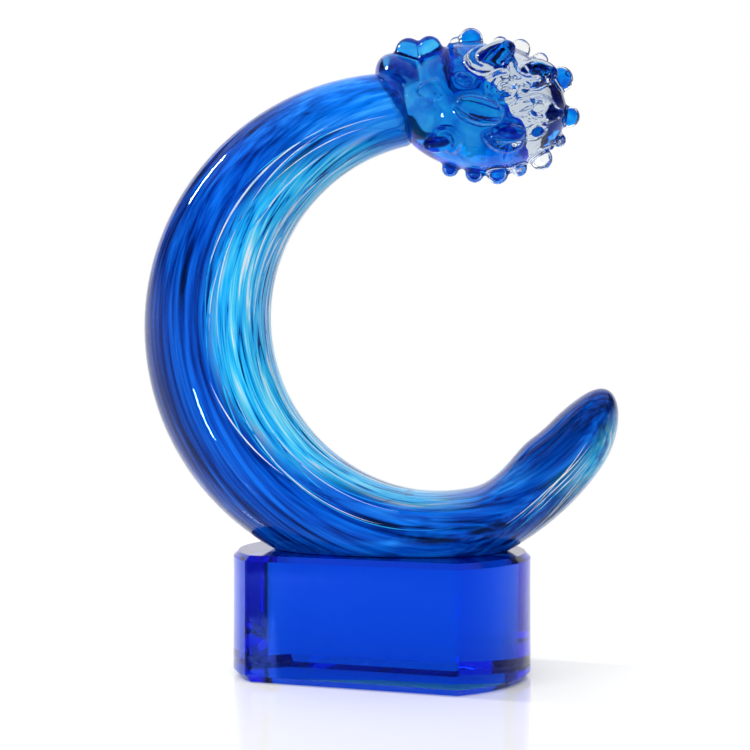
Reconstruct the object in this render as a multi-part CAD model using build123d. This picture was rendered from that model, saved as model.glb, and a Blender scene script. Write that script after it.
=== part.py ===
"""Hot-worked glass wave on a bevelled crystal plinth.

The wave is a crescent drawn between two circles. A cobalt core, a turquoise band on its hollow side and
coloured threads lie inside a clear casing, and a crest of cap, foam and drops is fused on its upper end.
A film of adhesive bonds the ground foot of the wave to the plinth.

Frame: millimetres, +Z up, origin at the centre of the plinth's underside. The engraving face looks to -Y.
"""

from build123d import *
from math import atan2, cos, pi, radians, sin, sqrt, tan
import os

# Plinth
PLINTH_WIDTH = 124.0  # over the two bowed ends
PLINTH_FACE = 88.0  # flat engraving face, between its upright edges
PLINTH_DEPTH = 80.0
PLINTH_HEIGHT = 50.8
TOP_BEVEL = 2.2
FOOT_BEVEL = 2.8
ARRIS_FOOT = 0.0956  # width of the facets on the four upright edges, where the foot bevel meets them

# Adhesive bond
BOND_FILM = 0.3

# Wave crescent, in its own upright plane
WAVE_TURN = 12.0  # degrees, the wave's plane against the engraving face
OUTER_RADIUS = 105.0
INNER_RADIUS = OUTER_RADIUS - 32.5
FOOT_GRIND = 12.9  # ground off the outer circle's lowest point
INNER_CENTRE_X = 25.5
CIRCLE_SHIFT_X = 20.3  # outer circle's centre lies this far to the left of the inner one's
CIRCLE_SHIFT_Z = 4.0  # and this far below it
NECK_ANGLE = 84.0  # degrees round the inner centre, where the wave ends inside the crest
BELLY_ANGLE = 180.0
FOOT_ANGLE = 268.0
TAIL_ANGLE = 306.0
ROUND_ANGLE = 316.0  # where the tail starts to round off
TIP_ANGLE = 336.0
NECK_DEPTH = 33.0  # front to back
BELLY_DEPTH = 58.0
FOOT_DEPTH = 62.0
TAIL_DEPTH = 40.0
LEAST_DEPTH = 1.02  # share of its thickness that the wave is deep at least
TAIL_SWELL = 8.5  # the tail's thickening towards the inner circle
SWELL_START = 280.0
TAIL_LIFT = 2.0  # the tail's rise off the two circles
LIFT_START = 250.0
STATION_STEP = 22.0  # degrees between the sections of the wave

# Glass layers inside the wave
INNER_COAT = 5.5  # clear glass over the coloured layers on the hollow side
OUTER_COAT = 4.0  # clear glass over the coloured layers everywhere else
BAND_RADIUS = INNER_RADIUS + 5.0  # the round joint between the turquoise band and the cobalt core
BAND_SHIFT = 21.0  # that joint's centre lies this far to the left of the inner circle's
CORE_TIP_ANGLE = 325.0
THREAD_COVER = 2.0  # from the surface to a thread's middle
THREAD_RADIUS = 0.7
THREAD_STEP = 6.0  # degrees between the places where a thread's cover is checked

# Crest, in the wave's plane
CREST_AHEAD = 6.14  # from the middle of the neck's end to the crest's centre
CREST_ABOVE = 2.0
CREST_HALF_LENGTH = 36.0
CREST_RADIUS = 26.0
CREST_TILT = 7.0  # degrees, nose down
CAP_SHARE = 5.0  # where cap and foam meet, from the crest's centre
CAP_LEAN = -20.0  # degrees, lean of that joint
HOOD_BEHIND = 26.0  # from the crest's centre to that of the cap's hood, a lens that wraps over the neck
HOOD_ABOVE = 4.5
HOOD_HALF_THICKNESS = 12.0
HOOD_RADIUS = 22.0
HOOD_TILT = -41.0

# Foam drops: place seen from the front, from the crest's centre, and the drop's radius
DRAWN_HALF_LENGTH = 36.0  # the crest on which these places were drawn, and with which they stretch
DRAWN_RADIUS = 26.0
FRONT_DROPS = (
    (-19.0, 2.0, 3.6),
    (2.0, -5.0, 7.4),
    (-13.0, -18.0, 4.6),
    (5.0, 16.5, 6.6),
    (23.0, 14.0, 5.4),
    (29.5, -2.0, 3.8),
    (18.5, -1.5, 3.6),
    (17.0, 6.5, 3.0),
    (14.0, -12.0, 5.0),
    (25.0, -9.5, 3.6),
    (-5.0, 6.5, 2.8),
)
TOP_DROPS = (-12.5, -6.5, 5.4, 13.5, 22.0, 30.5)
TOP_RADII = (2.8, 5.2, 3.4, 4.4, 3.6, 5.4)
UNDER_DROPS = (-8.5, 1.5, 10.6, 18.9, 27.0, 33.5)
UNDER_RADII = (3.6, 4.0, 4.6, 3.6, 4.8, 3.0)
BACK_DROPS = (
    (-5.0, 9.0, 4.6),
    (-3.0, -8.0, 5.8),
    (8.0, 12.0, 5.2),
    (14.0, -3.0, 4.4),
    (22.0, 11.0, 4.6),
    (25.0, -8.0, 5.0),
    (11.0, -16.0, 4.4),
    (-10.0, -16.5, 4.0),
)
NOSE_DROP = 4.4
HOOD_KNOBS = ((-31.0, -7.0, 17.0, 5.6), (-22.5, -8.0, 19.0, 5.2))  # x, y, z and radius, on the hood
DROP_STANDOFF = 0.3  # share of its radius by which a drop's centre stands off the crest

# Colour threads: place in front of or behind the wave's middle, first and last angle along the wave
WHITE_HOLLOW_THREADS = (
    (-17.0, 152, 250),
    (-11.0, 128, 262),
    (-5.0, 104, 272),
    (1.0, 118, 268),
    (7.0, 106, 250),
    (13.0, 136, 266),
)
TURQUOISE_HOLLOW_THREADS = (
    (-14.0, 140, 256),
    (-8.0, 112, 248),
    (-2.0, 132, 272),
    (4.0, 108, 262),
    (10.0, 142, 266),
)
WHITE_TAIL_THREADS = ((-7.0, 304, 322), (1.0, 303, 324))
TURQUOISE_TAIL_THREADS = ((-3.0, 305, 323), (5.0, 304, 321))

FOOT_LEVEL = PLINTH_HEIGHT + BOND_FILM
OUTER_CENTRE = Vector(INNER_CENTRE_X - CIRCLE_SHIFT_X, 0, FOOT_LEVEL - FOOT_GRIND + OUTER_RADIUS)
INNER_CENTRE = OUTER_CENTRE + Vector(CIRCLE_SHIFT_X, 0, CIRCLE_SHIFT_Z)


def eased(angle, stops):
    """Value at an angle, eased between (angle, value) stops in rising order."""
    if angle <= stops[0][0]:
        return stops[0][1]
    for (start, low), (end, high) in zip(stops, stops[1:]):
        if angle <= end:
            share = (angle - start) / (end - start)
            return low + (high - low) * share * share * (3 - 2 * share)
    return stops[-1][1]


def outward(angle):
    """Unit vector in the wave's plane, from the inner circle's centre."""
    return Vector(cos(radians(angle)), 0, sin(radians(angle)))


def tail_lift(angle):
    """How far the tail has risen towards the inner centre."""
    return eased(angle, ((LIFT_START, 0.0), (TAIL_ANGLE, TAIL_LIFT)))


def outer_reach(angle):
    """Distance from the inner centre to the wave's outer side."""
    way = outward(angle)
    along = CIRCLE_SHIFT_X * way.X + CIRCLE_SHIFT_Z * way.Z
    apart = CIRCLE_SHIFT_X**2 + CIRCLE_SHIFT_Z**2
    return sqrt(along**2 + OUTER_RADIUS**2 - apart) - along - tail_lift(angle)


def inner_reach(angle):
    """Distance from the inner centre to the wave's hollow side."""
    swell = eased(angle, ((SWELL_START, 0.0), (TAIL_ANGLE, TAIL_SWELL)))
    return INNER_RADIUS - swell - tail_lift(angle)


def section_sizes(angle):
    """Middle distance, half thickness and half depth of the wave's section."""
    inner, outer = inner_reach(angle), outer_reach(angle)
    depth = eased(
        angle,
        (
            (NECK_ANGLE, NECK_DEPTH),
            (BELLY_ANGLE, BELLY_DEPTH),
            (FOOT_ANGLE, FOOT_DEPTH),
            (TAIL_ANGLE, TAIL_DEPTH),
        ),
    )
    thickness = outer - inner
    return (inner + outer) / 2, thickness / 2, max(depth, thickness * LEAST_DEPTH) / 2


def section_plane(angle, reach, side=0.0):
    """Plane across the wave, with its X axis pointing outward and its Y axis to the back."""
    way = outward(angle)
    along = Vector(way.Z, 0, -way.X)
    return Plane(
        origin=INNER_CENTRE + way * reach + Vector(0, side, 0), x_dir=way, z_dir=along
    )


def oval(angle, reach, half_thick, half_deep, side=0.0):
    """Elliptical section of the wave, or of a layer or thread inside it."""
    return section_plane(angle, reach, side) * Ellipse(half_thick, half_deep)


def stepped(start, end, step):
    """Angles from start to end in even steps of about the given size."""
    count = max(2, round((end - start) / step))
    return [start + (end - start) * i / count for i in range(count + 1)]


def rounding(start, end, steps=(30.0, 55.0, 77.0)):
    """Angles past start with the shrink of a round end, by steps in degrees of its quarter circle."""
    return [(start + (end - start) * sin(radians(a)), cos(radians(a))) for a in steps]


def crescent(inner_coat, outer_coat, tip):
    """The wave's body, or a layer of it that lies under coats of clear glass."""
    lift = (inner_coat - outer_coat) / 2
    skin = (inner_coat + outer_coat) / 2
    stations = [(angle, 1.0) for angle in stepped(NECK_ANGLE, ROUND_ANGLE - (TIP_ANGLE - tip), STATION_STEP)]
    stations += rounding(stations[-1][0], tip)
    sections = []
    for angle, shrink in stations:
        reach, thick, deep = section_sizes(angle)
        sections.append(
            oval(angle, reach + lift, (thick - skin) * shrink, (deep - outer_coat) * shrink)
        )
    return loft(sections)


def bow(angle, side):
    """How far the wave's surface falls back at a place beside its middle."""
    _, thick, deep = section_sizes(angle)
    return thick * (1 - sqrt(1 - (side / deep) ** 2))


def arc_thread(centre, reach, side, first, last):
    """A drawn-out glass thread along an arc round a centre in the wave's plane."""
    way = outward(first)
    plane = Plane(
        origin=centre + way * reach + Vector(0, side, 0), x_dir=way, z_dir=(way.Z, 0, -way.X)
    )
    return revolve(plane * Circle(THREAD_RADIUS), Axis(centre, (0, -1, 0)), last - first)


def hollow_thread(side, first, last):
    """A thread under the hollow side, covered all along its run."""
    run = stepped(first, last, THREAD_STEP)
    reach = max(inner_reach(angle) + bow(angle, side) for angle in run) + THREAD_COVER
    return arc_thread(INNER_CENTRE, reach, side, first, last)


def tail_thread(side, first, last):
    """A thread under the tail's outer side, about the outer circle's centre."""
    reach = OUTER_RADIUS - TAIL_LIFT - bow(TAIL_ANGLE, side) - THREAD_COVER
    return arc_thread(OUTER_CENTRE, reach, side, first, last)


def half_space(level, upward):
    """A block that fills everything above, or below, a level."""
    size = 4 * OUTER_RADIUS
    return Pos(0, 0, level + (size / 2 if upward else -size / 2)) * Box(size, size, size)


def plinth():
    """Crystal block with a flat front and back, bowed ends and bevelled edges."""
    face, deep, wide = PLINTH_FACE / 2, PLINTH_DEPTH / 2, PLINTH_WIDTH / 2
    outline = Line((-face, -deep), (face, -deep))
    outline += ThreePointArc((face, -deep), (wide, 0), (face, deep))
    outline += Line((face, deep), (-face, deep))
    outline += ThreePointArc((-face, deep), (-wide, 0), (-face, -deep))
    block = extrude(make_face(outline.edges()), PLINTH_HEIGHT)
    turn = pi / 2 - 2 * atan2(wide - face, deep)
    arris = (ARRIS_FOOT / 2 + FOOT_BEVEL * tan(turn / 4)) / cos(turn / 2)
    block = chamfer(block.edges().filter_by(Axis.Z), arris)
    block = chamfer(block.edges().group_by(Axis.Z)[-1], TOP_BEVEL)
    return chamfer(block.edges().group_by(Axis.Z)[0], FOOT_BEVEL)


def egg(half_length, radius):
    """Ellipsoid of revolution about the X axis."""
    profile = Ellipse(half_length, radius) & Pos(0, radius) * Rectangle(2 * half_length, 2 * radius)
    return revolve(profile, Axis.X)


def crest_point(x, z, side):
    """Point of the crest's surface and its outward direction, for a place seen from the front."""
    x *= CREST_HALF_LENGTH / DRAWN_HALF_LENGTH
    z *= CREST_RADIUS / DRAWN_RADIUS
    rest = max(0.0, 1 - (x / CREST_HALF_LENGTH) ** 2 - (z / CREST_RADIUS) ** 2)
    foot = Vector(x, side * CREST_RADIUS * sqrt(rest), z)
    way = Vector(x / CREST_HALF_LENGTH**2, foot.Y / CREST_RADIUS**2, z / CREST_RADIUS**2)
    return foot, way.normalized()


def rim_height(x):
    """Height of the crest's outline above its axis, as drawn."""
    return DRAWN_RADIUS * sqrt(1 - (x / DRAWN_HALF_LENGTH) ** 2)


def drop_places():
    """Foot, outward direction and radius of every foam drop."""
    places = [(*crest_point(x, z, -1), radius) for x, z, radius in FRONT_DROPS]
    places += [(*crest_point(x, rim_height(x), 0), r) for x, r in zip(TOP_DROPS, TOP_RADII)]
    places += [(*crest_point(x, -rim_height(x), 0), r) for x, r in zip(UNDER_DROPS, UNDER_RADII)]
    places += [(*crest_point(x, z, 1), radius) for x, z, radius in BACK_DROPS]
    places.append((*crest_point(DRAWN_HALF_LENGTH, 0, 0), NOSE_DROP))
    places += [(Vector(x, y, z), Vector(0, 0, 1), radius) for x, y, z, radius in HOOD_KNOBS]
    return places


def crest_parts(body):
    """Cap, foam and drops of the crest, cut where they are fused to each other and to the wave."""
    neck = INNER_CENTRE + outward(NECK_ANGLE) * section_sizes(NECK_ANGLE)[0]
    spot = Pos(neck + Vector(CREST_AHEAD, 0, CREST_ABOVE))
    place = spot * Rot(0, CREST_TILT, 0)
    whole = place * egg(CREST_HALF_LENGTH, CREST_RADIUS)
    hood = spot * Pos(-HOOD_BEHIND, 0, HOOD_ABOVE) * Rot(0, HOOD_TILT, 0)
    hood = hood * egg(HOOD_HALF_THICKNESS, HOOD_RADIUS)
    size = 4 * CREST_HALF_LENGTH
    joint = place * Pos(CAP_SHARE, 0, 0) * Rot(0, CAP_LEAN, 0)
    right_side = joint * Pos(size / 2, 0, 0) * Box(size, size, size)
    cap = ((whole - right_side) + (hood - right_side)) - body
    foam = (whole & right_side) - body
    drops = []
    for foot, way, radius in drop_places():
        seat = Plane(origin=foot + way * radius * DROP_STANDOFF, z_dir=way)
        drop = place * seat.location * Sphere(radius) - whole
        for other in [hood] + drops:
            if drop.bounding_box().overlaps(other.bounding_box()):
                drop = drop - other
        drops.append(drop.solids().sort_by(SortBy.VOLUME)[-1])
    return cap, foam, drops


def turned(shape):
    """A wave piece, turned with the wave's plane about the upright axis."""
    return Rot(0, 0, WAVE_TURN) * shape


def main():
    body = crescent(0.0, 0.0, TIP_ANGLE) & half_space(FOOT_LEVEL, True)
    layers = crescent(INNER_COAT, OUTER_COAT, CORE_TIP_ANGLE) & half_space(FOOT_LEVEL + OUTER_COAT, True)
    joint = Pos(INNER_CENTRE - Vector(BAND_SHIFT, 0, 0)) * Rot(90, 0, 0)
    joint = joint * Cylinder(BAND_RADIUS, 2 * FOOT_DEPTH)
    white = [hollow_thread(*row) for row in WHITE_HOLLOW_THREADS]
    white += [tail_thread(*row) for row in WHITE_TAIL_THREADS]
    turquoise = [hollow_thread(*row) for row in TURQUOISE_HOLLOW_THREADS]
    turquoise += [tail_thread(*row) for row in TURQUOISE_TAIL_THREADS]
    casing = body - layers
    for piece in white + turquoise:
        casing = casing - piece
    foot = body.faces().sort_by(Axis.Z)[0]
    film = extrude(foot, BOND_FILM, dir=(0, 0, -1))
    cap, foam, drops = crest_parts(body)
    nodes = {
        "plinth": plinth(),
        "bond_film": turned(film),
        "wave_casing": turned(casing),
        "wave_core": turned(layers - joint),
        "wave_band": turned(layers & joint),
        "crest_cap": turned(cap),
        "crest_foam": turned(foam),
    }
    rows = (("white_thread", white), ("turquoise_thread", turquoise), ("foam_drop", drops))
    for name, pieces in rows:
        for number, piece in enumerate(pieces, 1):
            nodes[f"{name}_{number:02d}"] = turned(piece)
    os.makedirs("parts", exist_ok=True)
    for name, shape in nodes.items():
        export_step(shape, f"parts/{name}.step")


if __name__ == "__main__":
    main()
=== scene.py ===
"""Looks of the glass wave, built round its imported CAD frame.

The formulas work in millimetres and degrees. Meshes are in metres, in the frame of the CAD model.
"""

import math
import random
from types import SimpleNamespace

import bmesh
import bpy
from mathutils import Euler, Matrix, Vector
from mathutils.noise import noise

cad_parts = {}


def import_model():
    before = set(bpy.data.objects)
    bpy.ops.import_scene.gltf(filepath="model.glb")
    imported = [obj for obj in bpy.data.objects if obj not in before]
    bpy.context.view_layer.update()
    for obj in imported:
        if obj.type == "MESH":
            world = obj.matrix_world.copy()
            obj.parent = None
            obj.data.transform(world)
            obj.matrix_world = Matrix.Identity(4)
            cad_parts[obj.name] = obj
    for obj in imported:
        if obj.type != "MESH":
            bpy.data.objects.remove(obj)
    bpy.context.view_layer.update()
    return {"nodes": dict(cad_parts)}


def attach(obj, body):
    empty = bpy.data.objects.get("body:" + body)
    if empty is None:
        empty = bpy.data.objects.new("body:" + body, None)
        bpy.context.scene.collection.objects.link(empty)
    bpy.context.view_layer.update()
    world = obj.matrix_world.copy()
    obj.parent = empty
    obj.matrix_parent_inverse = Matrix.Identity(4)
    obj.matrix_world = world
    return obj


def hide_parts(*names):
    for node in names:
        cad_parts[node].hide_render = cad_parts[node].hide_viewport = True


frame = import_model()

bl_info = {
    "name": "Glass wave sculpture",
    "version": (1, 0, 0),
    "blender": (4, 5, 0),
    "location": "View3D > Sidebar > Glass wave",
    "description": "Builds a cased glass wave with a foaming crest on a crystal plinth",
    "category": "Object",
}

MM = 0.001


# Settings

def linear(hex_colour):
    """Linear RGBA of an sRGB hex colour."""
    rgb = [int(hex_colour[i:i + 2], 16) / 255 for i in (1, 3, 5)]
    return [c / 12.92 if c <= 0.04045 else ((c + 0.055) / 1.055) ** 2.4 for c in rgb] + [1.0]


def length_of(name, about, mm):
    """Setting of a length, written in millimetres and kept in metres."""
    return bpy.props.FloatProperty(name=name, description=about, default=mm * MM, unit="LENGTH", precision=4)


def angle_of(name, about, degrees):
    """Setting of an angle, written in degrees and kept in radians."""
    radians = math.radians(degrees)
    return bpy.props.FloatProperty(name=name, description=about, default=radians, subtype="ANGLE")


def count_of(name, about, number):
    """Setting of a whole number."""
    return bpy.props.IntProperty(name=name, description=about, default=number)


def number_of(name, about, number, unit="NONE"):
    """Setting of a plain number, or of one in a unit that Blender keeps as it is."""
    return bpy.props.FloatProperty(name=name, description=about, default=number, unit=unit)


def colour_of(name, about, hex_colour):
    """Setting of a colour."""
    return bpy.props.FloatVectorProperty(
        name=name, description=about, default=linear(hex_colour), size=4, subtype="COLOR", min=0.0, max=1.0
    )


class WaveSettings(bpy.types.PropertyGroup):
    """The crescent between two circles, and the glass layers in it. Angles go round the hollow's centre."""

    turn: angle_of("Turn", "Turn of the wave's plane against the plinth's front", 12.0)
    outer_radius: length_of("Outer radius", "Radius of the crescent's outer circle", 105.0)
    inner_radius: length_of("Inner radius", "Radius of the round hollow", 72.5)
    centre_x: length_of("Centre across", "Place of the hollow's centre, to the right of the plinth's", 25.5)
    centre_z: length_of("Centre height", "Height of the hollow's centre", 147.2)
    shift_x: length_of("Shift left", "How far the outer circle's centre lies left of the hollow's", 20.3)
    shift_z: length_of("Shift down", "How far the outer circle's centre lies below the hollow's", 4.0)
    neck_angle: angle_of("Neck", "Where the wave's run is measured from, inside the crest", 84.0)
    neck_round: angle_of("Neck rounding", "Run over which the wave's upper end rounds off", 5.0)
    casing_start: angle_of("Casing start", "Upper end of the clear casing, inside the hood", 97.0)
    core_start: angle_of("Core start", "Upper end of the cobalt core, inside the hood", 98.5)
    belly_angle: angle_of("Belly", "Where the belly has its full depth", 180.0)
    foot_angle: angle_of("Foot", "Where the foot has its full depth", 268.0)
    tail_angle: angle_of("Tail", "Where the tail has its full depth, swell and lift", 306.0)
    round_angle: angle_of("Tail rounding", "Where the tail starts to round off", 316.0)
    tip_angle: angle_of("Tip", "Where the tail ends", 336.0)
    neck_depth: length_of("Neck depth", "Front to back at the neck", 33.0)
    belly_depth: length_of("Belly depth", "Front to back at the belly", 58.0)
    foot_depth: length_of("Foot depth", "Front to back at the foot", 62.0)
    tail_depth: length_of("Tail depth", "Front to back at the tail", 40.0)
    tail_swell: length_of("Tail swell", "Thickening of the tail towards the hollow", 8.5)
    swell_start: angle_of("Swell start", "Where the tail starts to swell", 280.0)
    tail_lift: length_of("Tail lift", "Rise of the tail off the two circles", 2.0)
    lift_start: angle_of("Lift start", "Where the tail starts to rise", 250.0)
    foot_level: length_of("Foot level", "Height of the ground face of the foot", 51.1)
    inner_coat: length_of("Inner coat", "Clear glass over the colours on the hollow side", 5.5)
    outer_coat: length_of("Outer coat", "Clear glass over the colours everywhere else", 3.0)
    foot_coat: length_of("Foot coat", "Clear glass under the colours at the foot", 1.0)
    core_tip_angle: angle_of("Core tip", "Where the coloured core ends in the tail", 333.0)
    band_radius: length_of("Joint radius", "Radius of the round joint between core and band", 77.5)
    band_shift: length_of("Joint shift", "How far that joint's centre lies left of the hollow's", 21.0)
    band_start: angle_of("Band start", "Upper end of the turquoise band", 100.5)
    band_end: angle_of("Band end", "Lower end of the turquoise band", 259.0)
    rings: count_of("Rings", "Sections along the wave", 150)
    sides: count_of("Sides", "Points round each section", 72)


class StreakSettings(bpy.types.PropertyGroup):
    """Threads of drawn-out glass under the wave's surface."""

    seed: count_of("Seed", "Start of the random places", 7)
    count: count_of("Count", "Threads of each colour along the belly", 34)
    radius: length_of("Radius", "Radius of the thickest thread at its middle", 0.5)
    cover: length_of("Cover", "Clear glass from the surface to a thread's middle", 1.9)


class CrestSettings(bpy.types.PropertyGroup):
    """The crest: an egg with a hood over the neck, and the drops on it."""

    x: length_of("Across", "Place of the crest's centre, to the right of the plinth's", 40.5)
    z: length_of("Height", "Height of the crest's centre", 233.5)
    half_length: length_of("Half length", "Half the egg's length", 36.0)
    radius: length_of("Radius", "Radius of the egg across its length", 26.0)
    tilt: angle_of("Tilt", "How far the egg's nose points down", 7.0)
    hood_x: length_of("Hood across", "Place of the hood's centre", 14.5)
    hood_z: length_of("Hood height", "Height of the hood's centre", 238.0)
    hood_half_thickness: length_of("Hood half thickness", "Half the thickness of the hood's lens", 12.0)
    hood_radius: length_of("Hood radius", "Radius of the hood's lens", 22.0)
    hood_tilt: angle_of("Hood tilt", "Lean of the hood's lens", -41.0)
    voxel: length_of("Melting grid", "Grid in which the crest's forms are melted together", 0.75)
    cap_coat: length_of("Cap coat", "Clear glass over the cobalt cap", 1.2)
    standoff: number_of("Standoff", "Share of its radius by which a drop's centre stands off the egg", 0.3)


class GlassSettings(bpy.types.PropertyGroup):
    """Colours of the see-through glass."""

    casing_sheen: colour_of("Casing sheen", "Tint of reflections on the wave's casing", "#5a8ee4")
    foam_sheen: colour_of("Foam sheen", "Tint of reflections on the foam", "#5f92e4")
    foam_tint: colour_of("Foam tint", "Colour in the depth of the foam", "#8fb0cc")
    foam_density: number_of("Foam density", "How soon the foam's tint sets in with depth", 18.0)
    crystal_sheen: colour_of("Crystal sheen", "Tint of reflections on the plinth", "#4f74ff")
    crystal_tint: colour_of("Crystal tint", "Colour in the depth of the plinth", "#4cd8f9")
    crystal_density: number_of("Crystal density", "How soon the plinth's tint sets in with depth", 120.0)
    film_sheen: colour_of("Film sheen", "Tint of reflections on the bond film", "#ffffff")


class StageSettings(bpy.types.PropertyGroup):
    """Camera and table."""

    azimuth: angle_of("Azimuth", "How far the camera stands to the right of the plinth's front", 18.7)
    distance: length_of("Distance", "From the camera to the point that it looks at", 650.0)
    aim_x: length_of("Aim across", "Place of the point that the camera looks at", -2.8)
    aim_z: length_of("Aim height", "Height of the point that the camera looks at", 126.0)
    lens: number_of("Lens", "Focal length of the camera", 75.0, "CAMERA")
    shift_y: number_of("Shift", "Upward shift of the lens, in shares of the frame", -0.0093)
    table_colour: colour_of("Table colour", "Colour of the table below its gloss", "#e7e7e7")
    table_gloss: number_of("Table gloss", "Share of the table's light that is mirrored", 0.42)


def working(settings):
    """Settings as the formulas use them: millimetres and degrees, rounded off their single precision."""
    values = SimpleNamespace()
    for item in settings.bl_rna.properties:
        value = getattr(settings, item.identifier)
        unit = getattr(item, "unit", "NONE")
        if unit == "LENGTH":
            value = round(value / MM, 4)
        elif unit == "ROTATION":
            value = round(math.degrees(value), 4)
        elif getattr(item, "is_array", False):
            value = tuple(value)
        setattr(values, item.identifier, value)
    return values


# Materials

WHITE = linear("#ffffff")
CORD_HEIGHT, CORD_DETAIL = 0.4 * MM, 2.0
COLOUR_ROUGHNESS = 0.2
FILM_IOR, FILM_ROUGHNESS = 1.05, 0.05
GLASS_IOR = 1.5

# Cords of each glass: share of full bump, and width in mm
CASING_CORDS = (0.04, 16.0)
FOAM_CORDS = (0.05, 4.0)
CRYSTAL_CORDS = (0.01, 30.0)
FILM_CORDS = (0.1, 4.0)

# Layers of veins: share, grain along and across the wave in mm, detail and distortion
COBALT_VEINS = ((0.65, 70, 5, 4.0, 0.6), (0.45, 46, 1.6, 2.0, 0.3))
COBALT_SWIRLS = ((1.0, 34, 12, 2.0, 1.2),)
BAND_VEINS = ((0.75, 44, 3.4, 2.0, 1.4), (0.35, 36, 1.1, 1.0, 0.4))
THREAD_VEINS = ((1.0, 20, 1, 3.0, 0.0),)

# Colours by the strength of the veins. The light cobalt is painted light, where light passes through the
# arms, and the night cobalt is painted shade on the outer side and the tail
DEEP_COBALT = ((0.4, "#000d34"), (0.46, "#02287c"), (0.54, "#0344b4"), (0.68, "#0f6ee0"))
PAINTED_LIGHT_COBALT = ((0.36, "#012a80"), (0.44, "#0360cc"), (0.52, "#057cf0"), (0.7, "#3fb0ff"))
PAINTED_SHADE_COBALT = ((0.38, "#00061c"), (0.5, "#01174f"), (0.6, "#02308a"), (0.72, "#0a5fc8"))
BAND_CYAN = (
    (0.41, "#02285f"), (0.44, "#0a86dc"), (0.51, "#1cbcfc"),
    (0.6, "#50dcff"), (0.68, "#a8f0ff"), (0.71, "#ffffff"),
)
BAND_PALE = ((0.42, "#033470"), (0.45, "#12acf4"), (0.53, "#40d4ff"), (0.63, "#94ecff"), (0.68, "#ffffff"))
THREAD_WHITE = ((0.3, "#9fd8ff"), (0.6, "#ffffff"))
THREAD_TURQUOISE = ((0.3, "#0a5fd0"), (0.6, "#2fc6ff"))
CAP_AZURE = ((0.34, "#0040b4"), (0.42, "#006ae0"), (0.5, "#0490f8"), (0.58, "#14aaff"), (0.72, "#54ccff"))
CAP_LIGHT = ((0.36, "#0c90fc"), (0.7, "#5cccff"))
CAP_DEEP = ((0.36, "#0038a4"), (0.7, "#0480ec"))

# Where a colour sets in, from nothing to full, in mm along the wave from its neck
# The arms take painted light, for the light that passes through them
TOP_ARM = (74, 26)
LOW_ARM_START, LOW_ARM_END = (190, 225), (285, 255)
# The tail takes painted shade
TAIL_START = (240, 290)
UNDER_TAIL_START = (270, 296)
PALE_START, PALE_END = (26, 48), (256, 216)

# The same in mm outward from the hollow, and past the joint between core and band
# The outer side takes painted shade
OUTER_SIDE = (26, 44)
UNDER_TAIL_OUT = (4, 13)
PALE_EDGE = (9.5, 5.5)
PAST_JOINT = (5.5, -3.5)
JOINT_WANDER = 12.0

# The same by the strength of the swirls, and how strong the painted shade and the cyan parts get
SWIRL_EDGE = (0.46, 0.72)
OUTER_STRENGTH, TAIL_STRENGTH, UNDER_TAIL_STRENGTH = 0.75, 0.7, 0.85

# Cap: its swirls' width in mm, detail and distortion, and where its light and deep parts set in, in mm
CAP_SWIRL, CAP_DETAIL, CAP_DISTORTION = 20, 3.0, 1.6
CAP_LIGHT_EDGE, CAP_DEEP_EDGE = (30, 8), (232, 206)
CAP_IOR = 1.01  # against the clear glass round it


def add(tree, kind, inputs=None, stops=(), **settings):
    """New node with its settings. Inputs are plain values, or nodes or sockets that they are linked from."""
    node = tree.nodes.new("ShaderNode" + kind)
    for name, value in settings.items():
        setattr(node, name, value)
    for socket, value in (inputs or {}).items():
        if isinstance(value, bpy.types.Node):
            value = value.outputs[0]
        if isinstance(value, bpy.types.NodeSocket):
            tree.links.new(value, node.inputs[socket])
        else:
            node.inputs[socket].default_value = value
    for _ in stops[2:]:
        node.color_ramp.elements.new(1.0)
    for number, (position, hex_colour) in enumerate(stops):
        node.color_ramp.elements[number].position = position
        node.color_ramp.elements[number].color = linear(hex_colour)
    return node


def new_material(name):
    """Empty node material and its tree."""
    material = bpy.data.materials.new(name)
    material.use_nodes = True
    material.node_tree.nodes.clear()
    return material, material.node_tree


def polished_glass(name, sheen, cords, tint=None, density=0.0, ior=GLASS_IOR, roughness=0.0):
    """Fire-polished glass with cords, the faint ripples of hand gathering, and a tint in its depth."""
    material, tree = new_material(name)
    bump_share, cord_mm = cords
    where = add(tree, "TexCoord").outputs["Object"]
    ripple = add(tree, "TexNoise", {"Vector": where, "Scale": 1 / (cord_mm * MM), "Detail": CORD_DETAIL})
    bump = add(tree, "Bump", {"Height": ripple, "Strength": bump_share, "Distance": CORD_HEIGHT})
    shader = add(tree, "BsdfPrincipled", {
        "Base Color": WHITE,
        "Transmission Weight": 1.0,
        "IOR": ior,
        "Roughness": roughness,
        "Specular Tint": sheen,
        "Normal": bump,
    })
    ends = {"Surface": shader}
    if tint:
        ends["Volume"] = add(tree, "VolumeAbsorption", {"Color": tint, "Density": density})
    add(tree, "OutputMaterial", ends)
    return material


def veined_glass(name, pattern):
    """Coloured glass with a pattern drawn along the wave. It lies under clear glass and has no own gloss."""
    material, tree = new_material(name)
    flow = add(tree, "Attribute", attribute_name="flow").outputs["Vector"]
    shader = add(tree, "BsdfPrincipled", {
        "Base Color": pattern(tree, flow),
        "Roughness": COLOUR_ROUGHNESS,
        "Specular IOR Level": 0.0,
    })
    add(tree, "OutputMaterial", {"Surface": shader})
    return material


def veins(tree, flow, layers):
    """Strength of the veins in the straightened wave, summed over layers of noise."""
    total = 0.0
    for share, along, across, detail, distortion in layers:
        scale = (1 / along, 1 / across, 1 / across)
        scaled = add(tree, "VectorMath", {0: flow, 1: scale}, operation="MULTIPLY")
        shape = {"Vector": scaled, "Scale": 1.0, "Detail": detail, "Distortion": distortion}
        grain = add(tree, "TexNoise", shape)
        total = add(tree, "Math", {0: grain, 1: share, 2: total}, operation="MULTIPLY_ADD")
    return total


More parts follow.
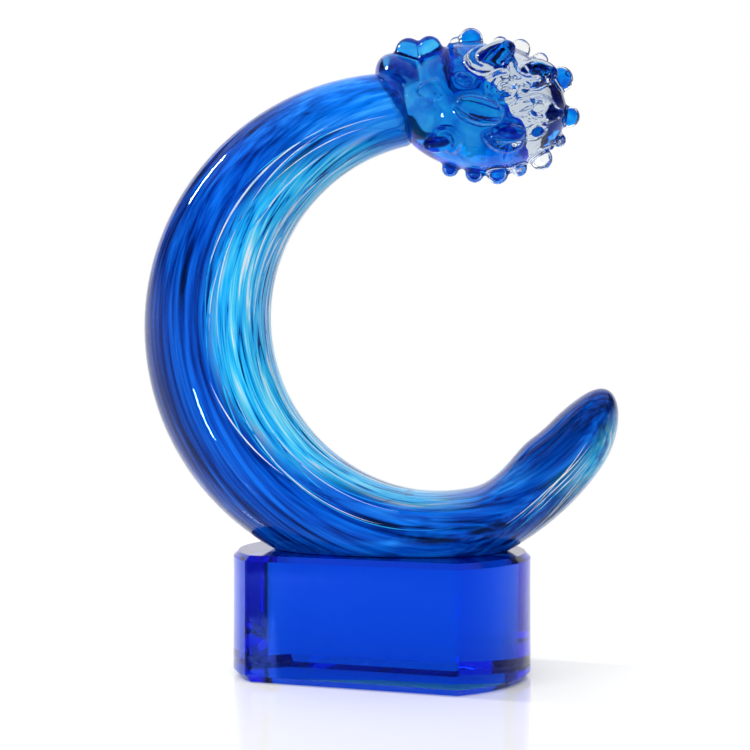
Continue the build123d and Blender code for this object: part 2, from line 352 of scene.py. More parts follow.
def zone(tree, *edges, strength=1.0):
    """Soft-edged zone. Each edge is a value, with the two places between which the zone sets in."""
    whole = strength
    for value, none, full in edges:
        ends = {"Value": value, "From Min": none, "From Max": full}
        share = add(tree, "MapRange", ends, interpolation_type="SMOOTHSTEP")
        whole = add(tree, "Math", {0: share, 1: whole}, operation="MULTIPLY")
    return whole


def cobalt(tree, flow):
    """Navy and azure veins, with painted light on the arms, where light passes through, and painted shade on
    the outer side and the tail.
    """
    along, out, _ = add(tree, "SeparateXYZ", {"Vector": flow}).outputs
    grain = veins(tree, flow, COBALT_VEINS)
    deep = add(tree, "ValToRGB", {"Fac": grain}, DEEP_COBALT)
    # The light ramp is painted light for the arms, the night ramp painted shade for the outer side and the
    # tail
    light = add(tree, "ValToRGB", {"Fac": grain}, PAINTED_LIGHT_COBALT)
    painted_shade = add(tree, "ValToRGB", {"Fac": grain}, PAINTED_SHADE_COBALT)
    swirl = veins(tree, flow, COBALT_SWIRLS)
    top = zone(tree, (along, *TOP_ARM))
    low = zone(tree, (along, *LOW_ARM_START), (along, *LOW_ARM_END), (swirl, *SWIRL_EDGE))
    arms = add(tree, "Math", {0: top, 1: low}, operation="MAXIMUM")
    # Where painted shade darkens the outer side and the tail
    side = zone(tree, (out, *OUTER_SIDE), strength=OUTER_STRENGTH)
    tail = zone(tree, (along, *TAIL_START), strength=TAIL_STRENGTH)
    dark = add(tree, "Math", {0: side, 1: tail}, operation="MAXIMUM")
    lit = add(tree, "Mix", {0: arms, 6: deep, 7: light}, data_type="RGBA").outputs[2]
    return add(tree, "Mix", {0: dark, 6: lit, 7: painted_shade}, data_type="RGBA").outputs[2]


def cobalt_and_cyan(tree, flow):
    """Cobalt that turns to cyan with white and dark slashes past the joint, and pale at the hollow side."""
    along, out, _ = add(tree, "SeparateXYZ", {"Vector": flow}).outputs
    grain = veins(tree, flow, BAND_VEINS)
    cyan = add(tree, "ValToRGB", {"Fac": grain}, BAND_CYAN)
    pale = add(tree, "ValToRGB", {"Fac": grain}, BAND_PALE)
    joint = add(tree, "Attribute", attribute_name="joint").outputs["Fac"]
    ragged = add(tree, "Math", {0: grain, 1: JOINT_WANDER, 2: joint}, operation="MULTIPLY_ADD")
    past = zone(tree, (ragged, *PAST_JOINT))
    under = zone(tree, (along, *UNDER_TAIL_START), (out, *UNDER_TAIL_OUT), strength=UNDER_TAIL_STRENGTH)
    bright = add(tree, "Math", {0: past, 1: under}, operation="MAXIMUM")
    edge = zone(tree, (out, *PALE_EDGE), (along, *PALE_START), (along, *PALE_END))
    both = add(tree, "Mix", {0: bright, 6: cobalt(tree, flow), 7: cyan}, data_type="RGBA").outputs[2]
    return add(tree, "Mix", {0: edge, 6: both, 7: pale}, data_type="RGBA").outputs[2]


def opal_white(tree, flow):
    """Opal white with faint blue veins."""
    return add(tree, "ValToRGB", {"Fac": veins(tree, flow, THREAD_VEINS)}, THREAD_WHITE)


def turquoise(tree, flow):
    """Turquoise with darker veins."""
    return add(tree, "ValToRGB", {"Fac": veins(tree, flow, THREAD_VEINS)}, THREAD_TURQUOISE)


def cap_glass():
    """Cobalt glass of the cap, in swirls that are lighter at the neck and deeper below."""
    # Cobalt glass folded while hot: a see-through blue that drifts from navy to azure
    material, tree = new_material("Cobalt cap glass")
    where = add(tree, "TexCoord").outputs["Object"]
    axes = add(tree, "SeparateXYZ", {"Vector": where}).outputs
    swirl = add(tree, "TexNoise", {
        "Vector": where,
        "Scale": 1 / (CAP_SWIRL * MM),
        "Detail": CAP_DETAIL,
        "Distortion": CAP_DISTORTION,
    })
    colour = add(tree, "ValToRGB", {"Fac": swirl}, CAP_AZURE)
    for axis, (none, full), stops in (("X", CAP_LIGHT_EDGE, CAP_LIGHT), ("Z", CAP_DEEP_EDGE, CAP_DEEP)):
        share = zone(tree, (axes[axis], none * MM, full * MM))
        tone = add(tree, "ValToRGB", {"Fac": swirl}, stops)
        colour = add(tree, "Mix", {0: share, 6: colour, 7: tone}, data_type="RGBA").outputs[2]
    shader = add(tree, "BsdfPrincipled", {
        "Base Color": colour,
        "Roughness": 0.0,
        "Transmission Weight": 1.0,
        "IOR": CAP_IOR,
    })
    add(tree, "OutputMaterial", {"Surface": shader})
    return material


# Wave form

LEAST_DEPTH = 1.02  # share of its thickness that the wave is deep at least
END_STEPS = 16
LEAST_SHRINK = 0.004
LEAST_ANGLE = 1e-6
WELD = 0.005 * MM


def eased(angle, stops):
    """Value at an angle, eased between (angle, value) stops in rising order."""
    if angle <= stops[0][0]:
        return stops[0][1]
    for (start, low), (end, high) in zip(stops, stops[1:]):
        if angle <= end:
            share = (angle - start) / (end - start)
            return low + (high - low) * share * share * (3 - 2 * share)
    return stops[-1][1]


def circle_reach(angle, shift_x, shift_z, radius):
    """Distance from the hollow's centre to a circle whose centre is shifted left and down."""
    turn = math.radians(angle)
    along = shift_x * math.cos(turn) + shift_z * math.sin(turn)
    return math.sqrt(along**2 + radius**2 - shift_x**2 - shift_z**2) - along


def section(wave, angle):
    """Inner and outer reach, and half depth, of the wave's section."""
    lift = eased(angle, ((wave.lift_start, 0.0), (wave.tail_angle, wave.tail_lift)))
    swell = eased(angle, ((wave.swell_start, 0.0), (wave.tail_angle, wave.tail_swell)))
    inner = wave.inner_radius - swell - lift
    outer = circle_reach(angle, wave.shift_x, wave.shift_z, wave.outer_radius) - lift
    depth = eased(angle, (
        (wave.neck_angle, wave.neck_depth),
        (wave.belly_angle, wave.belly_depth),
        (wave.foot_angle, wave.foot_depth),
        (wave.tail_angle, wave.tail_depth),
    ))
    return inner, outer, max(depth, LEAST_DEPTH * (outer - inner)) / 2


def wave_point(wave, angle, reach, side):
    """Point in metres, for an angle and reach round the hollow's centre, turned with the wave's plane."""
    around = math.radians(angle)
    x = wave.centre_x + reach * math.cos(around)
    z = wave.centre_z + reach * math.sin(around)
    turn = math.radians(wave.turn)
    across = x * math.cos(turn) - side * math.sin(turn)
    return Vector((across, x * math.sin(turn) + side * math.cos(turn), z)) * MM


def stations(wave, first, tip):
    """Angles along the wave with the shrink of its two round ends."""
    full = first + wave.neck_round
    start = wave.round_angle - (wave.tip_angle - tip)
    quarter = [math.radians(90 * i / END_STEPS) for i in range(END_STEPS + 1)]
    shrinks = [max(math.cos(turn), LEAST_SHRINK) for turn in quarter]
    neck = [(full - wave.neck_round * math.sin(turn), shrink) for turn, shrink in zip(quarter, shrinks)]
    run = [(full + (start - full) * i / wave.rings, 1.0) for i in range(1, wave.rings)]
    tail = [(start + (tip - start) * math.sin(turn), shrink) for turn, shrink in zip(quarter, shrinks)]
    return neck[::-1] + run + tail


def wave_mesh(wave, name, run, inner_coat, outer_coat, lowest, joint=None, hollow_side=False):
    """Closed tube along the wave. A joint, by its reach at an angle, keeps one side of the section only."""
    mesh = bmesh.new()
    flow = mesh.verts.layers.float_vector.new("flow")
    away = mesh.verts.layers.float.new("joint")
    rows = []
    for angle, shrink in run:
        inner, outer, deep = section(wave, angle)
        thick = (outer - inner) / 2 - (inner_coat + outer_coat) / 2
        middle = (outer + inner) / 2 + (inner_coat - outer_coat) / 2
        row = []
        for k in range(wave.sides):
            around = math.pi - 2 * math.pi * k / wave.sides
            across, side = math.cos(around), math.sin(around)
            if joint:
                across, side = cut_section(around, (middle - joint(angle)) / (thick * shrink), hollow_side)
            reach = middle - thick * shrink * across
            out = (deep - outer_coat) * shrink * side
            row.append(wave_vertex(mesh, wave, flow, angle, reach, out, lowest))
            row[-1][away] = reach - joint(angle) if joint else 0.0
        rows.append(row)
    skin_rows(mesh, rows)
    return finish_mesh(mesh, name)


def cut_section(around, level, hollow_side):
    """Point of a unit circle cut straight at a level, on the hollow side of the cut or on the other."""
    edge = math.acos(max(-1.0, min(1.0, level)))
    turn = abs(around)
    if (turn < edge) == hollow_side:
        return math.cos(around), math.sin(around)
    if hollow_side:
        share = (math.pi - turn) / max(math.pi - edge, LEAST_ANGLE)
    else:
        share = turn / max(edge, LEAST_ANGLE)
    return math.cos(edge), math.copysign(math.sin(edge) * share, around)


def wave_vertex(mesh, wave, flow, angle, reach, side, lowest=0.0):
    """Vertex that also keeps its place in the straightened wave, in mm along, outward and sideways."""
    point = wave_point(wave, angle, reach, side)
    point.z = max(point.z, lowest * MM)
    vertex = mesh.verts.new(point)
    along = math.radians(angle - wave.neck_angle) * wave.inner_radius
    vertex[flow] = (along, reach - wave.inner_radius, side)
    return vertex


def skin_rows(mesh, rows):
    """Close rows of vertices into a tube with two flat ends."""
    for before, after in zip(rows, rows[1:]):
        for k in range(len(before)):
            n = (k + 1) % len(before)
            mesh.faces.new((before[k], before[n], after[n], after[k]))
    mesh.faces.new(rows[0][::-1])
    mesh.faces.new(rows[-1])


def finish_mesh(mesh, name):
    """Object from a bmesh, cleaned, smooth and facing outward."""
    bmesh.ops.remove_doubles(mesh, verts=mesh.verts, dist=WELD)
    bmesh.ops.recalc_face_normals(mesh, faces=mesh.faces)
    for face in mesh.faces:
        face.smooth = True
    data = bpy.data.meshes.new(name)
    mesh.to_mesh(data)
    mesh.free()
    item = bpy.data.objects.new(name, data)
    bpy.context.scene.collection.objects.link(item)
    return item


def place(item, material, nodes):
    """Give a piece its material, and let it ride on the body and stand for its CAD nodes."""
    item.data.materials.clear()
    item.data.materials.append(material)
    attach(item, "root")
    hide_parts(*nodes)


class WAVE_OT_body(bpy.types.Operator):
    """Clear casing and the coloured glass in it"""

    bl_idname = "glass_wave.body"
    bl_label = "Wave"

    def execute(self, context):
        wave = working(context.scene.wave_settings)
        colours = working(context.scene.glass_settings)
        casing_run = stations(wave, wave.casing_start, wave.tip_angle)
        casing = wave_mesh(wave, "WaveCasing", casing_run, 0.0, 0.0, wave.foot_level)
        # Clear soda-lime glass, gathered and fire-polished: wet gloss over the colours, with faint ripples
        clear = polished_glass("Clear casing glass", colours.casing_sheen, CASING_CORDS)
        place(casing, clear, ["wave_casing"])

        def joint(angle):
            return circle_reach(angle, wave.band_shift, 0.0, wave.band_radius)

        coats = (wave.inner_coat, wave.outer_coat, wave.foot_level + wave.foot_coat)
        core_run = stations(wave, wave.core_start, wave.core_tip_angle)
        core = wave_mesh(wave, "WaveCore", core_run, *coats, joint)
        # Cobalt glass, drawn out hot: dense blue with long darker and lighter veins, painted light on its
        # arms and painted shade on its outer side and tail
        blue = veined_glass("Cobalt core glass", cobalt_and_cyan)
        place(core, blue, ["wave_core"])
        length = wave.band_end - wave.band_start
        band_run = [(wave.band_start + length * i / wave.rings, 1.0) for i in range(wave.rings + 1)]
        band = wave_mesh(wave, "WaveBand", band_run, *coats, joint, True)
        # Turquoise glass, drawn out hot with white in it: bright cyan slashed with white and navy
        cyan = veined_glass("Turquoise band glass", cobalt_and_cyan)
        place(band, cyan, ["wave_band"])
        return {"FINISHED"}


# Threads along the belly: where they start and end, their runs, turns round the section, drift and widths
BELLY_STARTS, BELLY_RUNS, BELLY_END = (104, 215), (22, 75), 276
BELLY_TURNS, BELLY_DRIFT, BELLY_WIDTHS = (-86, 60), 14, (0.4, 1.0)

# The same for the threads under the tail, one for every three on the belly
TAIL_STARTS, TAIL_RUNS, TAIL_END = (284, 296), (12, 26), 320
TAIL_TURNS, TAIL_DRIFT, TAIL_WIDTH = (-180, -100), 20, 0.6
BELLY_TO_TAIL = 3

THREAD_STEPS, THREAD_SIDES = 40, 8
LEAST_TAPER = 0.02


class WAVE_OT_threads(bpy.types.Operator):
    """Drawn-out threads under the casing's surface"""

    bl_idname = "glass_wave.threads"
    bl_label = "Threads"

    def execute(self, context):
        wave = working(context.scene.wave_settings)
        streaks = working(context.scene.streak_settings)
        dice = random.Random(streaks.seed)
        # Opal and turquoise canes, drawn to threads: solid colour that fades a little along its length
        white = veined_glass("White drawn glass", opal_white)
        aqua = veined_glass("Turquoise drawn glass", turquoise)
        for name, material, slot in (("White", white, "white_glass"), ("Turquoise", aqua, "turquoise_glass")):
            mesh = bmesh.new()
            mesh.verts.layers.float_vector.new("flow")
            for _ in range(streaks.count):
                first = dice.uniform(*BELLY_STARTS)
                last = min(first + dice.uniform(*BELLY_RUNS), BELLY_END)
                turn = dice.uniform(*BELLY_TURNS)
                drift = dice.uniform(-BELLY_DRIFT, BELLY_DRIFT)
                radius = streaks.radius * dice.uniform(*BELLY_WIDTHS)
                add_thread(mesh, wave, (first, last), (turn, drift), radius, streaks.cover)
            for _ in range(streaks.count // BELLY_TO_TAIL):
                first = dice.uniform(*TAIL_STARTS)
                last = min(first + dice.uniform(*TAIL_RUNS), TAIL_END)
                turn = dice.uniform(*TAIL_TURNS)
                drift = dice.uniform(-TAIL_DRIFT, TAIL_DRIFT)
                radius = streaks.radius * TAIL_WIDTH
                add_thread(mesh, wave, (first, last), (turn, drift), radius, streaks.cover)
            item = finish_mesh(mesh, name + "Threads")
            prefix = slot.split("_")[0] + "_thread_"
            place(item, material, [n for n in frame["nodes"] if n.startswith(prefix)])
        return {"FINISHED"}


def add_thread(mesh, wave, ends, way, radius, cover):
    """Tapered tube under the surface, from one angle to another, drifting round the section."""
    flow = mesh.verts.layers.float_vector["flow"]
    first, last = ends
    turn, drift = way
    rows = []
    for i in range(THREAD_STEPS + 1):
        share = i / THREAD_STEPS
        angle = first + (last - first) * share
        inner, outer, deep = section(wave, angle)
        thick, middle = (outer - inner) / 2, (outer + inner) / 2
        width = radius * max(math.sin(share * math.pi), LEAST_TAPER)
        around = math.radians(turn + drift * share)
        row = []
        for k in range(THREAD_SIDES):
            corner = 2 * math.pi * k / THREAD_SIDES
            depth = cover + width * math.cos(corner)
            spread = around + width * math.sin(corner) / deep
            reach = middle - (thick - depth) * math.cos(spread)
            row.append(wave_vertex(mesh, wave, flow, angle, reach, (deep - depth) * math.sin(spread)))
        rows.append(row)
    skin_rows(mesh, rows)


# Crest

# Drops on the front (side -1) and back (side 1), in the egg's own frame: x, z, side and radius
DROPS = (
    (-19.0, 2.0, -1, 3.6), (2.0, -5.0, -1, 7.4), (-13.0, -18.0, -1, 4.6), (5.0, 16.5, -1, 6.6),
    (23.0, 14.0, -1, 5.4), (29.5, -2.0, -1, 3.8), (18.5, -1.5, -1, 3.6), (17.0, 6.5, -1, 3.0),
    (14.0, -12.0, -1, 5.0), (25.0, -9.5, -1, 3.6), (-5.0, 6.5, -1, 2.8),
    (-5.0, 9.0, 1, 4.6), (-3.0, -8.0, 1, 5.8), (8.0, 12.0, 1, 5.2), (14.0, -3.0, 1, 4.4),
    (22.0, 11.0, 1, 4.6), (25.0, -8.0, 1, 5.0), (11.0, -16.0, 1, 4.4), (-10.0, -16.5, 1, 4.0),
)
# Drops along the top and the underside: x and radius
TOP_DROPS = ((-12.5, 2.8), (-6.5, 5.2), (5.4, 3.4), (13.5, 4.4), (22.0, 3.6), (30.5, 5.4))
UNDER_DROPS = ((-8.5, 3.6), (1.5, 4.0), (10.6, 4.6), (18.9, 3.6), (27.0, 4.8), (33.5, 3.0))
# Drop on the nose: its radius. Knobs on the hood: x, y, z and radius
NOSE_DROP = 4.4
HOOD_KNOBS = ((-31.0, -7.0, 17.0, 5.6), (-22.5, -8.0, 19.0, 5.2))

# Half sizes of an almond drop in shares of its radius, and how the slant changes from drop to drop
ALMOND = (1.4, 0.8, 0.8)
SLANT_STEP, SLANT_RANGE = 47, 70

# Cobalt inside the drops, in shares of their radius: where the cap reaches them, and the ones that differ
CAP_SHARE = 0.8
CORE_SHARES = {
    0: 0.0, 1: 0.0, 4: 0.5, 5: 0.6, 9: 0.55, 20: 0.6, 24: 0.6, 25: 0.5, 26: 0.5, 27: 0.5, 31: 0.6,
}

# Curled ridges on the front: x and z of the curl, its size, the ridge's width, and the angle where it starts
CURLS = (
    (2.0, 15.0, 8.0, 2.3, 40.0), (20.0, 14.0, 8.5, 2.2, 160.0), (-21.0, -1.0, 6.0, 1.6, 10.0),
    (14.0, -13.0, 7.5, 1.9, 200.0), (-11.0, -17.0, 6.0, 1.7, 300.0), (11.0, 4.0, 7.0, 1.9, 90.0),
    (25.0, -2.0, 6.5, 1.8, 30.0),
)
CURL_STEPS, CURL_TURN, CURL_WINDING, CURL_FLATNESS = 26, 430, 0.75, 0.75
CURL_THICK_END, CURL_TAPER, CURL_STANDOFF = 1.15, 0.5, 1 / 3
LEAST_REST = 0.02

# Edge of the cobalt cap: z and how far it reaches along the egg, with its wander and the size of that, in mm
CAP_EDGE = ((-24.0, 4.0), (-15.0, 12.0), (-7.0, 16.0), (4.0, 7.0), (11.0, -5.0), (20.0, -15.0))
EDGE_WANDER, EDGE_GRAIN = 5, 9

# Rounds of smoothing, and how finely the balls are divided
MELTING = 8
COARSE_BALL, BALL, FINE_BALL = 2, 4, 5


def drop_balls(crest):
    """Centre and radius of every drop, in the crest's own frame."""
    places = []
    for x, z, side, radius in DROPS:
        rest = max(0.0, 1 - (x / crest.half_length) ** 2 - (z / crest.radius) ** 2)
        places.append((x, side * crest.radius * math.sqrt(rest), z, radius))
    for row, sign in ((TOP_DROPS, 1), (UNDER_DROPS, -1)):
        for x, radius in row:
            places.append((x, 0.0, sign * crest.radius * math.sqrt(1 - (x / crest.half_length) ** 2), radius))
    places.append((crest.half_length, 0.0, 0.0, NOSE_DROP))
    balls = []
    for x, y, z, radius in places:
        way = Vector((x / crest.half_length**2, y / crest.radius**2, z / crest.radius**2)).normalized()
        balls.append((Vector((x, y, z)) + way * radius * crest.standoff, radius))
    for x, y, z, radius in HOOD_KNOBS:
        balls.append((Vector((x, y, z)) + Vector((0, 0, radius * crest.standoff)), radius))
    return balls


def add_ball(mesh, matrix, sizes, subdivisions=BALL):
    """Ellipsoid in the given place, with half sizes in millimetres."""
    spread = matrix @ Matrix.Diagonal((*[v * MM for v in sizes], 1.0))
    return bmesh.ops.create_icosphere(mesh, subdivisions=subdivisions, radius=1.0, matrix=spread)["verts"]


def add_drop(mesh, spot, number, centre, radius):
    """Round drop, or on the crest's front and back an almond that lies at its own slant."""
    lie = spot @ Matrix.Translation(centre * MM)
    if number >= len(DROPS):
        add_ball(mesh, lie, (radius, radius, radius))
        return
    slant = math.radians(SLANT_STEP * number % SLANT_RANGE - SLANT_RANGE / 2)
    add_ball(mesh, lie @ Matrix.Rotation(slant, 4, "Y"), [share * radius for share in ALMOND])


def add_curl(mesh, crest, spot, x, z, size, width, phase):
    """Folded ridge of foam that winds inward on the crest's front."""
    for i in range(CURL_STEPS + 1):
        share = i / CURL_STEPS
        turn = math.radians(phase + CURL_TURN * share)
        away = size * (1 - CURL_WINDING * share)
        u, v = x + away * math.cos(turn), z + CURL_FLATNESS * away * math.sin(turn)
        rest = max(LEAST_REST, 1 - (u / crest.half_length) ** 2 - (v / crest.radius) ** 2)
        radius = width * (CURL_THICK_END - CURL_TAPER * share)
        centre = Vector((u, -crest.radius * math.sqrt(rest) - CURL_STANDOFF * radius, v))
        add_ball(mesh, spot @ Matrix.Translation(centre * MM), (radius, radius, radius), COARSE_BALL)


def cap_edge(z):
    """How far the cobalt of the cap reaches along the crest at a height."""
    if z <= CAP_EDGE[0][0]:
        return CAP_EDGE[0][1]
    for (low, start), (high, end) in zip(CAP_EDGE, CAP_EDGE[1:]):
        if z <= high:
            return start + (end - start) * (z - low) / (high - low)
    return CAP_EDGE[-1][1]


class WAVE_OT_crest(bpy.types.Operator):
    """Clear skin of the crest with its drops and curls, and the cobalt cap in it"""

    bl_idname = "glass_wave.crest"
    bl_label = "Crest"

    def execute(self, context):
        crest = working(context.scene.crest_settings)
        colours = working(context.scene.glass_settings)
        turn = Matrix.Rotation(math.radians(working(context.scene.wave_settings).turn), 4, "Z")
        spot = turn @ Matrix.Translation(Vector((crest.x, 0, crest.z)) * MM)
        spot = spot @ Matrix.Rotation(math.radians(crest.tilt), 4, "Y")
        hood = turn @ Matrix.Translation(Vector((crest.hood_x, 0, crest.hood_z)) * MM)
        hood = hood @ Matrix.Rotation(math.radians(crest.hood_tilt), 4, "Y")
        balls = drop_balls(crest)
        skin = foam_skin(crest, spot, hood, balls)
        nodes = [n for n in frame["nodes"] if n.startswith(("crest_foam", "foam_drop_"))]
        # Clear soda-lime glass, trailed on hot: bright beads and folds, a little blue where they are thick
        clear = polished_glass(
            "Clear foam glass",
            colours.foam_sheen,
            FOAM_CORDS,
            colours.foam_tint,
            colours.foam_density,
        )
        place(skin, clear, nodes)
        place(cobalt_cap(crest, spot, hood, balls), cap_glass(), ["crest_cap"])
        return {"FINISHED"}


def foam_skin(crest, spot, hood, balls):
    """Outer skin of the crest: egg, hood, drops and curls in one."""
    mesh = bmesh.new()
    add_ball(mesh, spot, (crest.half_length, crest.radius, crest.radius))
    add_ball(mesh, hood, (crest.hood_half_thickness, crest.hood_radius, crest.hood_radius))
    for number, (centre, radius) in enumerate(balls):
        add_drop(mesh, spot, number, centre, radius)
    for row in CURLS:
        add_curl(mesh, crest, spot, *row)
    skin = finish_mesh(mesh, "CrestFoam")
    fuse(skin, crest.voxel * MM)
    return skin


def cobalt_cap(crest, spot, hood, balls):
    """Cobalt under the skin: the egg up to a ragged edge, the hood, and the hearts of drops."""
    mesh = bmesh.new()
    coat = crest.cap_coat
    inside = crest.radius - coat
    verts = add_ball(mesh, spot, (crest.half_length - coat, inside, inside), FINE_BALL)
    back = spot.inverted()
    for vertex in verts:
        local = back @ vertex.co / MM
        local.x = min(local.x, cap_edge(local.z) + EDGE_WANDER * noise(local / EDGE_GRAIN))
        vertex.co = spot @ (local * MM)
    half_coat = coat / 2
    inside = crest.hood_radius - half_coat
    add_ball(mesh, hood, (crest.hood_half_thickness - half_coat, inside, inside))
    for number, (centre, radius) in enumerate(balls):
        reached = CAP_SHARE if centre.x < cap_edge(centre.z) else 0.0
        share = CORE_SHARES.get(number, reached)
        if share:
            add_drop(mesh, spot, number, centre, share * radius)
    cap = finish_mesh(mesh, "CrestCap")
    fuse(cap, crest.voxel * MM)
    return cap


def fuse(item, voxel):
    """Melt overlapping forms of a piece into one skin."""
    remesh = item.modifiers.new("Fuse", "REMESH")
    remesh.mode = "VOXEL"
    remesh.voxel_size = voxel
    remesh.use_smooth_shade = True
    melt = item.modifiers.new("Melt", "SMOOTH")
    melt.iterations = MELTING
    bpy.context.view_layer.update()
    shape = item.evaluated_get(bpy.context.evaluated_depsgraph_get())
    data = bpy.data.meshes.new_from_object(shape)
    item.modifiers.clear()
    item.data = data


# Plinth

FILM_GAP = 0.03 * MM


class WAVE_OT_plinth(bpy.types.Operator):
    """Crystal plinth and the bond film on it"""

    bl_idname = "glass_wave.plinth"
    bl_label = "Plinth"

    def execute(self, context):
        colours = working(context.scene.glass_settings)
        # Cobalt optical crystal, ground and polished: deep even blue, with sharp light lines at its bevels
        crystal = polished_glass(
            "Cobalt crystal",
            colours.crystal_sheen,
            CRYSTAL_CORDS,
            colours.crystal_tint,
            colours.crystal_density,
        )
        # Clear adhesive, cured in place: a thin film that hardly shows
        film = polished_glass(
            "Cured clear adhesive", colours.film_sheen, FILM_CORDS, ior=FILM_IOR, roughness=FILM_ROUGHNESS
        )
        for name, material in (("plinth", crystal), ("bond_film", film)):
            node = frame["nodes"][name]
            node.data.materials.clear()
            node.data.materials.append(material)
        gap = frame["nodes"]["bond_film"].modifiers.new("Gap", "DISPLACE")
        gap.strength = -FILM_GAP
        gap.mid_level = 0.0
        return {"FINISHED"}


# Stage, in metres

SENSOR = 36  # width in mm
FLOOR_HALF = 6.0
TABLE_ROUGHNESS = 0.06
FAR_FLOOR = (0.2, 0.7)  # between these the table turns to plain white

# Softboxes: name, place, width and length, watts, and the point that they look at
SOFTBOXES = (
    ("HighStrip", (-0.776, -0.075, 0.758), (0.04, 0.24), 6, (-0.06, 0, 0.18)),
    ("LowStrip", (-0.175, -0.37, 0.06), (0.016, 0.06), 0.7, (-0.07, -0.03, 0.11)),
)

# Panels of the tent: where each sets in, by how far a direction points to the front or up, and its strength
BACK_EDGE = (-0.7, -0.74)
FRONT_EDGE, FRONT_LIGHT = (0.3, 0.34), 2.5
TOP_EDGE, TOP_LIGHT, TOP_IN_MIRRORS = (0.58, 0.62), 1.6, 0.4
HORIZON_EDGE = (0.35, 0.0)
SIDE_LIGHT = 0.1


class WAVE_OT_stage(bpy.types.Operator):
    """Camera, floor, world and lights"""

    bl_idname = "glass_wave.stage"
    bl_label = "Stage"

    def execute(self, context):
        stage = working(context.scene.stage_settings)
        turn = math.radians(stage.azimuth)
        front = Vector((math.sin(turn), -math.cos(turn), 0))
        data = bpy.data.cameras.new("Camera")
        data.lens = stage.lens
        data.sensor_width = SENSOR
        data.shift_y = stage.shift_y
        camera = bpy.data.objects.new("Camera", data)
        camera.location = (Vector((stage.aim_x, 0, stage.aim_z)) + front * stage.distance) * MM
        camera.rotation_euler = Euler((math.pi / 2, 0, turn))
        context.scene.collection.objects.link(camera)
        context.scene.camera = camera
        context.scene.view_settings.view_transform = "Standard"
        floor(stage)
        world(context.scene, front)
        for softbox in SOFTBOXES:
            strip_light(*softbox)
        return {"FINISHED"}


def strip_light(name, spot, size, power, aim):
    """Long softbox that looks at a point."""
    data = bpy.data.lights.new(name, "AREA")
    data.shape = "RECTANGLE"
    data.size, data.size_y = size
    data.energy = power
    light = bpy.data.objects.new(name, data)
    light.location = spot
    light.rotation_euler = (Vector(aim) - Vector(spot)).to_track_quat("-Z", "Y").to_euler()
    bpy.context.scene.collection.objects.link(light)


def floor(stage):
    """Table that mirrors the plinth faintly, and is plain white further off."""
    mesh = bmesh.new()
    bmesh.ops.create_grid(mesh, x_segments=1, y_segments=1, size=FLOOR_HALF)
    item = finish_mesh(mesh, "Floor")
    # White lacquered board: pale, with a gloss that mirrors what stands on it
    material, tree = new_material("Glossy white table")
    matt = add(tree, "BsdfDiffuse", {"Color": stage.table_colour})
    gloss = add(tree, "BsdfGlossy", {"Roughness": TABLE_ROUGHNESS})
    near = add(tree, "MixShader", {0: stage.table_gloss, 1: matt, 2: gloss})
    where = add(tree, "TexCoord").outputs["Object"]
    away = add(tree, "VectorMath", {0: where}, operation="LENGTH").outputs["Value"]
    rays = add(tree, "LightPath").outputs
    seen = 0.0
    for ray in ("Is Camera Ray", "Is Transmission Ray", "Is Glossy Ray"):
        seen = add(tree, "Math", {0: rays[ray], 1: seen}, operation="MAXIMUM")
    far = add(tree, "Emission", {"Color": WHITE})
    mix = add(tree, "MixShader", {0: zone(tree, (away, *FAR_FLOOR), strength=seen), 1: near, 2: far})
    add(tree, "OutputMaterial", {"Surface": mix})
    item.data.materials.append(material)


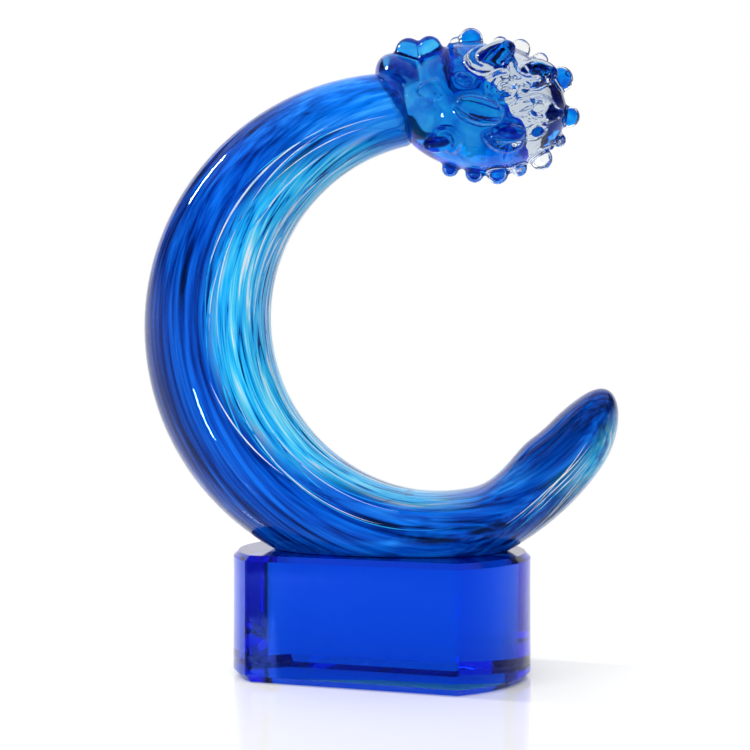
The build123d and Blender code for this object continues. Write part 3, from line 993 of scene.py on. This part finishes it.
def world(scene, front):
    """White back and top, and a polarised front light that leaves no veil. The camera sees plain white."""
    tent = bpy.data.worlds.new("White tent")
    tent.use_nodes = True
    tree = tent.node_tree
    tree.nodes.clear()
    where = add(tree, "TexCoord").outputs["Generated"]
    up = add(tree, "SeparateXYZ", {"Vector": where}).outputs["Z"]
    ahead = add(tree, "VectorMath", {0: where, 1: front}, operation="DOT_PRODUCT").outputs["Value"]
    rays = add(tree, "LightPath").outputs
    matt = add(tree, "Math", {0: 1.0, 1: rays["Is Glossy Ray"]}, operation="SUBTRACT")
    # A refracted ray counts as glossy too, so a mirror image is a glossy ray that isn't a transmitted one
    soft = add(tree, "Math", {0: matt, 1: rays["Is Transmission Ray"]}, operation="MAXIMUM")
    mirror = add(tree, "Math", {0: 1.0, 1: soft}, operation="SUBTRACT")
    front_light = add(tree, "Math", {0: soft, 1: FRONT_LIGHT}, operation="MULTIPLY")
    top_share = add(tree, "Math", {0: soft, 1: TOP_IN_MIRRORS}, operation="MAXIMUM")
    top_light = add(tree, "Math", {0: top_share, 1: TOP_LIGHT}, operation="MULTIPLY")
    panels = (
        zone(tree, (ahead, *BACK_EDGE)),
        zone(tree, (ahead, *FRONT_EDGE), strength=front_light),
        zone(tree, (up, *TOP_EDGE), strength=top_light),
        zone(tree, (up, *HORIZON_EDGE), strength=mirror),
    )
    strength = SIDE_LIGHT
    for panel in panels:
        strength = add(tree, "Math", {0: panel, 1: strength}, operation="MAXIMUM")
    light = add(tree, "Background", {"Color": WHITE, "Strength": strength})
    white = add(tree, "Background", {"Color": WHITE})
    mix = add(tree, "MixShader", {0: rays["Is Camera Ray"], 1: light, 2: white})
    add(tree, "OutputWorld", {"Surface": mix})
    scene.world = tent


class WAVE_PT_panel(bpy.types.Panel):
    """Sidebar panel with a button for each part"""

    bl_label = "Glass wave"
    bl_space_type = "VIEW_3D"
    bl_region_type = "UI"
    bl_category = "Glass wave"

    def draw(self, context):
        for operator in OPERATORS:
            self.layout.operator(operator.bl_idname)


OPERATORS = (WAVE_OT_plinth, WAVE_OT_body, WAVE_OT_threads, WAVE_OT_crest, WAVE_OT_stage)
GROUPS = {
    "wave_settings": WaveSettings,
    "streak_settings": StreakSettings,
    "crest_settings": CrestSettings,
    "glass_settings": GlassSettings,
    "stage_settings": StageSettings,
}


def register():
    """Make the settings, operators and panel known to Blender."""
    for group in GROUPS.values():
        bpy.utils.register_class(group)
    for name, group in GROUPS.items():
        setattr(bpy.types.Scene, name, bpy.props.PointerProperty(type=group))
    for item in OPERATORS + (WAVE_PT_panel,):
        bpy.utils.register_class(item)


def unregister():
    """Take them out again."""
    for item in reversed(OPERATORS + (WAVE_PT_panel,)):
        bpy.utils.unregister_class(item)
    for name, group in GROUPS.items():
        delattr(bpy.types.Scene, name)
        bpy.utils.unregister_class(group)


def main():
    """Build every piece and the stage."""
    register()
    for operator in OPERATORS:
        group, name = operator.bl_idname.split(".")
        getattr(getattr(bpy.ops, group), name)()


if __name__ == "__main__":
    main()
